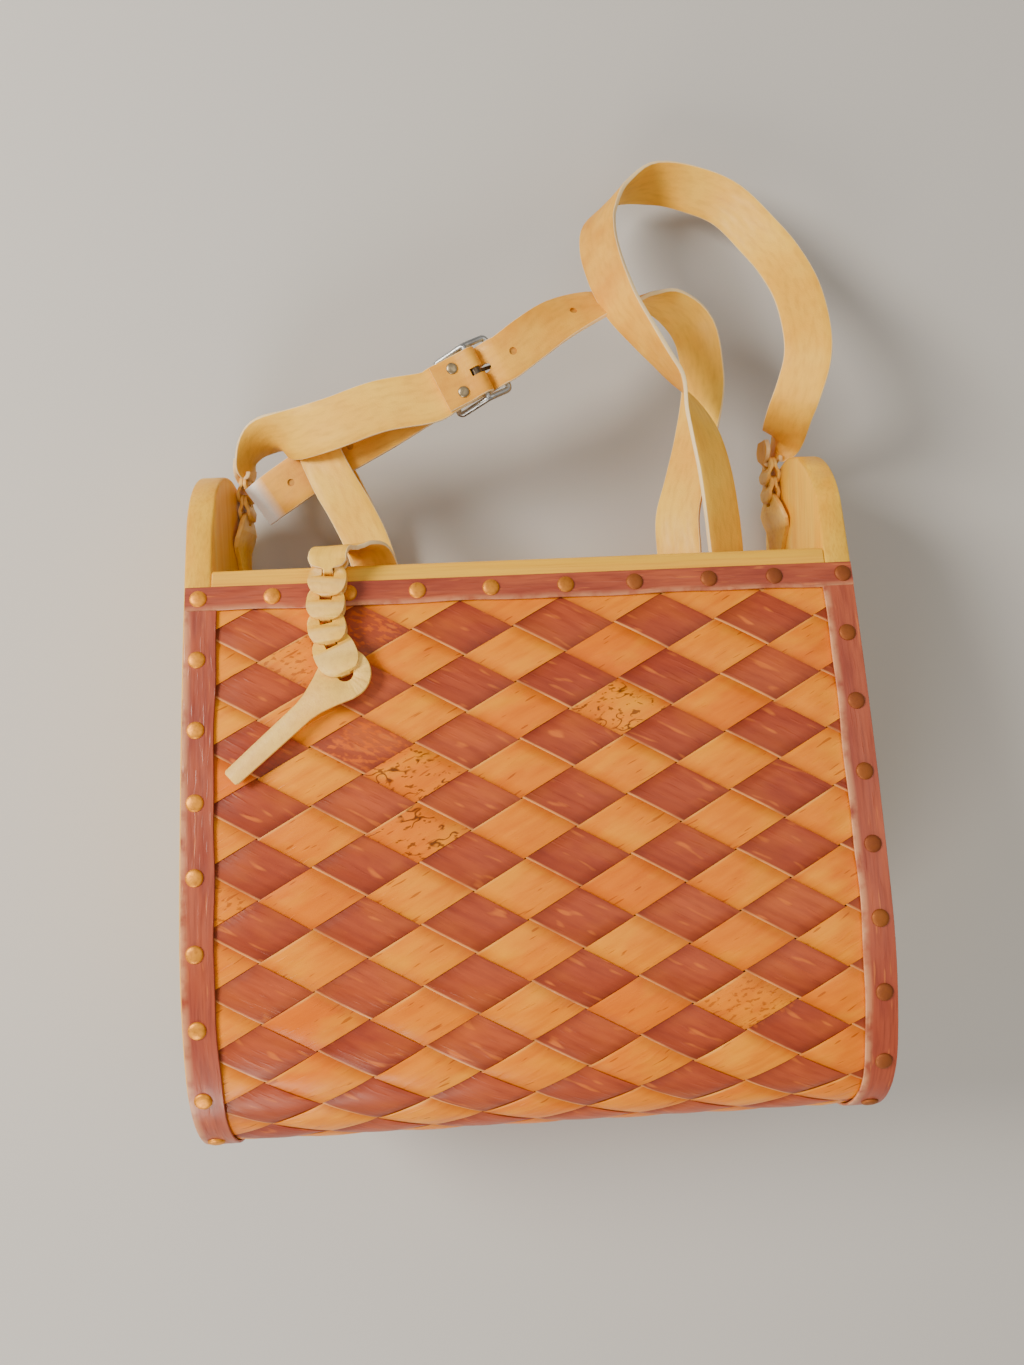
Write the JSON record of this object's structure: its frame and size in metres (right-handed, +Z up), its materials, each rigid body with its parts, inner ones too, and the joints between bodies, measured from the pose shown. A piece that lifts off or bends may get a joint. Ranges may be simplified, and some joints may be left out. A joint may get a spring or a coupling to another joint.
{
  "type": "plaited bark shoulder bag",
  "caption": "Open shoulder bag of plaited bark tacked round two wooden gables, with a leather shoulder strap and buckle and a closing strap of lapped leather links with a tongue.",
  "frame": {"origin": "middle of the width and length of the laid-out object, on the surface its back lies on", "axes": "+X across the bag to the viewer's right in the picture, +Y from the round base towards the mouth and straps, +Z up, away from the bag's back"},
  "size_m": [0.3027, 0.4599, 0.1441],
  "materials": {
    "wood": "varnished pale wood",
    "bark": "glossy plaited birch bark, golden and red-brown strips",
    "bark_band": "red-brown birch bark",
    "tacks": "worn brass",
    "strap_leather": "smooth tan leather",
    "chain_leather": "smooth tan leather",
    "buckle_metal": "worn nickel-plated steel"
  },
  "bodies": {
    "bag": {"left_gable": "wood", "right_gable": "wood", "front_rail": "wood", "back_rail": "wood", "bark_body": "bark", "front_top_band": "bark_band", "back_top_band": "bark_band", "left_side_band": "bark_band", "right_side_band": "bark_band", "front_top_tacks": "tacks", "back_top_tacks": "tacks", "left_side_tacks": "tacks", "right_side_tacks": "tacks", "left_strap_tab": "chain_leather", "right_strap_tab": "chain_leather", "strap_tab_tacks": "tacks", "closing_strap_tacks": "tacks", "left_strap_link_1": "chain_leather", "left_strap_link_2": "chain_leather", "right_strap_link_1": "chain_leather", "right_strap_link_2": "chain_leather", "buckle_strap": "strap_leather", "shoulder_strap": "strap_leather", "buckle_frame": "buckle_metal", "buckle_rivets": "buckle_metal", "closing_strap": "strap_leather"},
    "closing_strap_end": {"closing_strap_front": "strap_leather"},
    "chain_link_1": {"chain_link_1": "chain_leather"},
    "chain_link_2": {"chain_link_2": "chain_leather"},
    "chain_link_3": {"chain_link_3": "chain_leather"},
    "chain_link_4": {"chain_link_4": "chain_leather"},
    "tongue": {"tongue": "chain_leather"},
    "buckle_prong": {"buckle_prong": "buckle_metal"}
  },
  "joints": [
    {"name": "chain_lift", "type": "hinge", "parent": "bag", "child": "closing_strap_end", "pos_m": [-0.08112, 0.0366, 0.098], "axis": [-0.9082, 0, -0.4185], "range_deg": [0, 90]},
    {"name": "link_1_swing", "type": "hinge", "parent": "closing_strap_end", "child": "chain_link_1", "pos_m": [-0.0849, 0.02493, 0.10423], "axis": [0, 0.2639, 0.9646], "range_deg": [-9, 21]},
    {"name": "link_2_swing", "type": "hinge", "parent": "chain_link_1", "child": "chain_link_2", "pos_m": [-0.08603, 0.01457, 0.10706], "axis": [0, 0.2639, 0.9646], "range_deg": [-19, 11]},
    {"name": "link_3_swing", "type": "hinge", "parent": "chain_link_2", "child": "chain_link_3", "pos_m": [-0.08641, 0.00416, 0.10991], "axis": [0, 0.2639, 0.9646], "range_deg": [-27, 3]},
    {"name": "link_4_swing", "type": "hinge", "parent": "chain_link_3", "child": "chain_link_4", "pos_m": [-0.08453, -0.0061, 0.11272], "axis": [0, 0.2639, 0.9646], "range_deg": [-29, 1]},
    {"name": "tongue_swing", "type": "hinge", "parent": "chain_link_4", "child": "tongue", "pos_m": [-0.07843, -0.01932, 0.11633], "axis": [0, 0.2639, 0.9646], "range_deg": [-25, 125]},
    {"name": "prong_tilt", "type": "hinge", "parent": "bag", "child": "buckle_prong", "pos_m": [-0.016, 0.1174, 0.07], "axis": [-0.4226, 0.9063, 0], "range_deg": [0, 5]}
  ]
}
